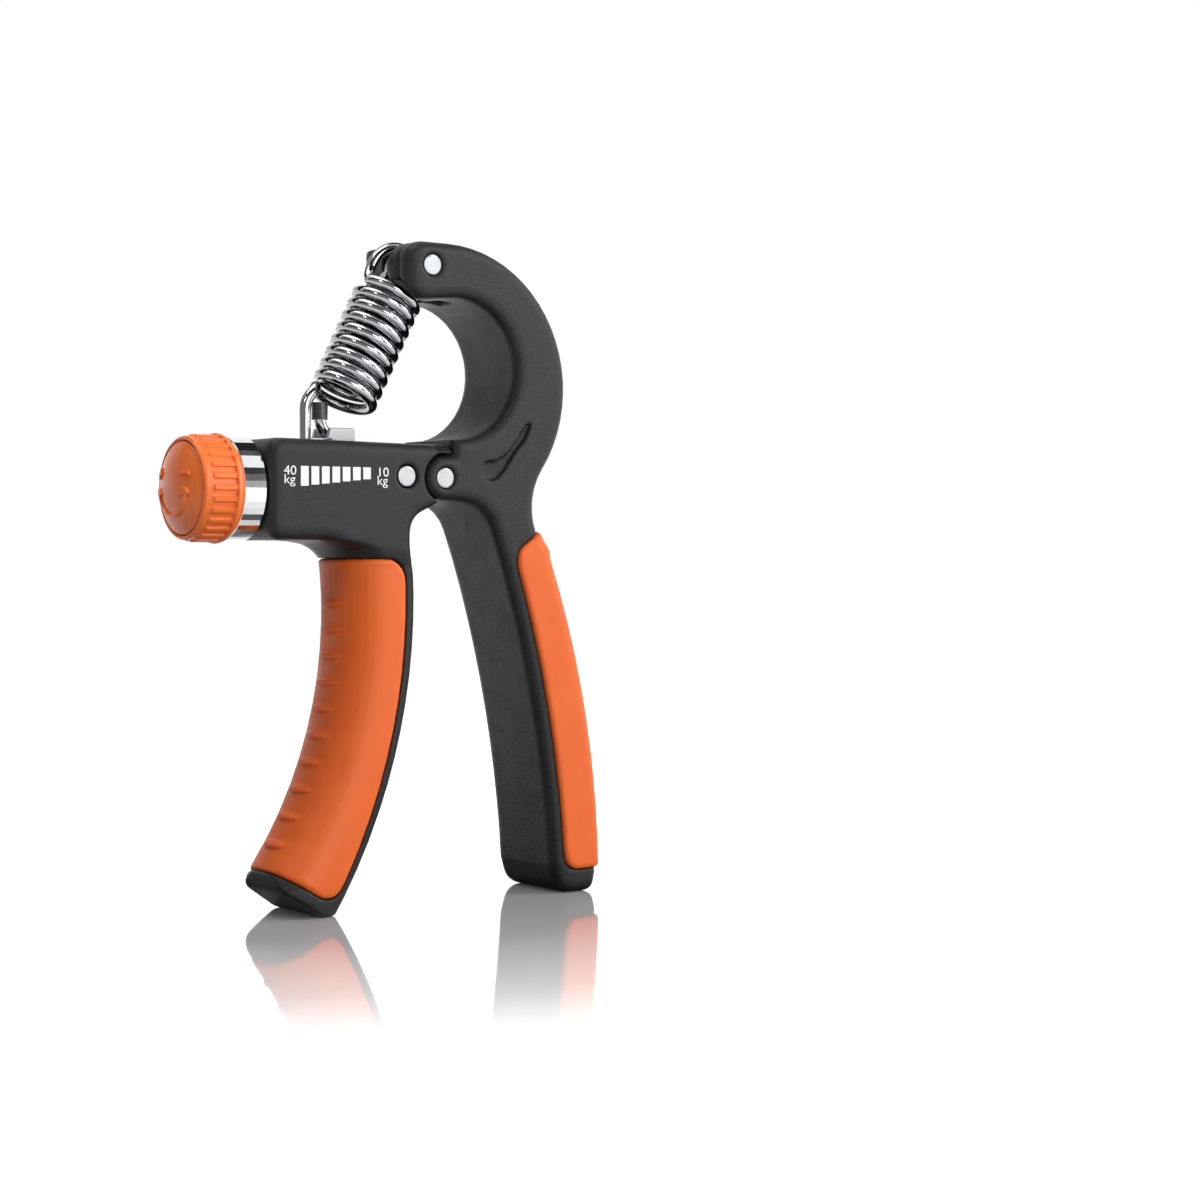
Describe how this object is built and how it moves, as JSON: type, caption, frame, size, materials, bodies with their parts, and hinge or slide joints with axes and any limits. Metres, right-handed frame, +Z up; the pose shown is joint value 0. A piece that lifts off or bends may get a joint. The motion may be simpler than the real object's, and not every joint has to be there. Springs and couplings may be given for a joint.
{
  "type": "adjustable hand grip strengthener",
  "caption": "Hand exerciser: two hinged handles, an extension spring between an arched arm and a slider, and a knob and screw that set the force.",
  "frame": {"origin": "centre of the bounding box in X and Y, at floor level", "axes": "+Z up from the feet to the arched arm, X along the head with the knob at -X, Y across the thickness"},
  "size_m": [0.0958, 0.0228, 0.1364],
  "materials": {
    "black_plastic": "satin, fine grain",
    "orange_rubber": "matt overmould",
    "orange_plastic": "satin gloss",
    "chrome_metal": "polished",
    "steel": "bright",
    "blackened_steel": "blackened, satin",
    "zinc": "cast, satin",
    "brass_bush": "turned",
    "nylon": "matt"
  },
  "bodies": {
    "front": {"front_frame": "black_plastic", "front_grip": "orange_rubber", "collar": "chrome_metal", "screw_bush": "brass_bush", "bearing_block": "zinc", "block_rivet": "steel", "pivot_bush": "brass_bush"},
    "rear": {"rear_frame": "black_plastic", "rear_grip": "orange_rubber", "pivot_pin": "steel", "pivot_washer_front": "nylon", "pivot_washer_back": "nylon", "arc_pin": "steel"},
    "knob": {"knob_shell": "orange_plastic", "knob_cap": "orange_plastic", "knob_nut": "steel", "adjusting_screw": "steel", "retaining_clip": "steel", "thrust_washer": "nylon"},
    "slider_block": {"slider": "zinc", "hook_pin": "steel"},
    "spring_top": {"spring": "chrome_metal", "hook_washer_front": "steel"},
    "spring_top_set": {"hook_washer_back": "steel"},
    "spring_foot": {"coil_damper": "black_plastic"},
    "spring_foot_set": {"hook_sleeve": "blackened_steel"}
  },
  "joints": [
    {"name": "squeeze", "type": "hinge", "parent": "front", "child": "rear", "pos_m": [0.00898, 0, 0.0878], "axis": [0, 1, 0], "range_deg": [0, 28], "stiffness_Nm_per_rad": 2},
    {"name": "knob_turn", "type": "hinge", "parent": "front", "child": "knob", "pos_m": [-0.03702, 0, 0.0852], "axis": [-1, 0, 0], "range_deg": [-1440, 1080]},
    {"name": "slider_travel", "type": "slide", "parent": "front", "child": "slider_block", "axis": [1, 0, 0], "range_m": [-0.008, 0.006]},
    {"name": "spring_swing", "type": "hinge", "parent": "rear", "child": "spring_top", "pos_m": [0.00598, 0, 0.1311], "axis": [0, -1, 0], "range_deg": [-1, 7]},
    {"name": "spring_swing_set", "type": "hinge", "parent": "spring_top", "child": "spring_top_set", "pos_m": [0.00598, 0, 0.1311], "axis": [0, -1, 0], "range_deg": [-9.5, 7.5]},
    {"name": "spring_stretch", "type": "slide", "parent": "spring_top_set", "child": "spring_foot", "axis": [-0.4779, 0, -0.8784], "range_m": [-0.001, 0.012], "deforming": ["spring"]},
    {"name": "spring_stretch_set", "type": "slide", "parent": "spring_foot", "child": "spring_foot_set", "axis": [-0.4779, 0, -0.8784], "range_m": [-0.0045, 0.0055]}
  ],
  "couplings": [
    {"joint": "slider_travel", "follows": "knob_turn", "m_per_rad": 0.00031831},
    {"joint": "spring_swing", "follows": "squeeze", "ratio": 0.20995},
    {"joint": "spring_swing_set", "follows": "knob_turn", "ratio": 0.00565},
    {"joint": "spring_stretch", "follows": "squeeze", "m_per_rad": 0.021753},
    {"joint": "spring_stretch_set", "follows": "knob_turn", "m_per_rad": -0.00017517}
  ]
}
